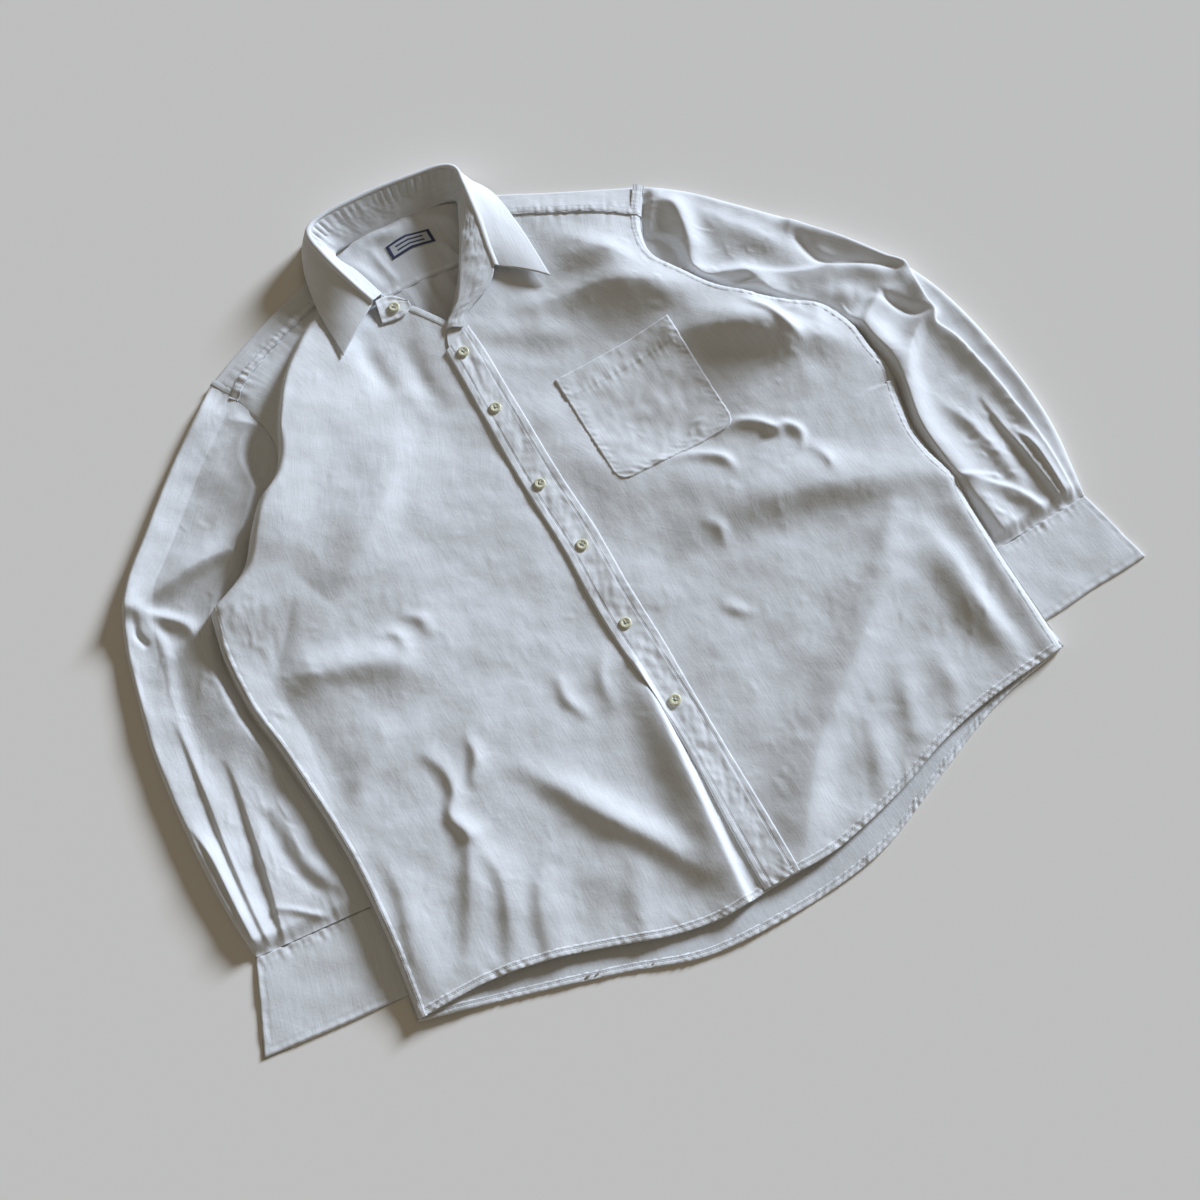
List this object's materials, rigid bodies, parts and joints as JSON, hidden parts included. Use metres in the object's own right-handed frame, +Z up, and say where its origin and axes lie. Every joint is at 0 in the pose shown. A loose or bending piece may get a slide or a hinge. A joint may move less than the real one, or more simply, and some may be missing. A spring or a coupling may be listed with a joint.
{
  "type": "button-up shirt",
  "caption": "Crumpled long-sleeved button-up shirt laid flat on its back, with a turned collar, front placket, chest pocket and button cuffs.",
  "frame": {"origin": "centre of the bounding box, on the surface the shirt lies on", "axes": "+X towards the wearer's left side, +Y towards the collar, +Z up away from the surface; the shirt lies on its back"},
  "size_m": [0.9302, 0.845, 0.0429],
  "materials": {
    "cloth": "soft matt poplin, pale blue-grey",
    "label": "woven satin, navy",
    "button": "cloudy cream, half gloss"
  },
  "bodies": {
    "root": {"back": "cloth", "yoke": "cloth", "front_right": "cloth", "front_left": "cloth", "placket": "cloth", "pocket": "cloth", "sleeve_right": "cloth", "sleeve_left": "cloth", "cuff_right": "cloth", "cuff_left": "cloth", "collar_stand": "cloth", "collar_fall": "cloth", "label": "label", "button_1": "button", "button_2": "button", "button_3": "button", "button_4": "button", "button_5": "button", "button_6": "button", "button_collar": "button"}
  },
  "joints": []
}
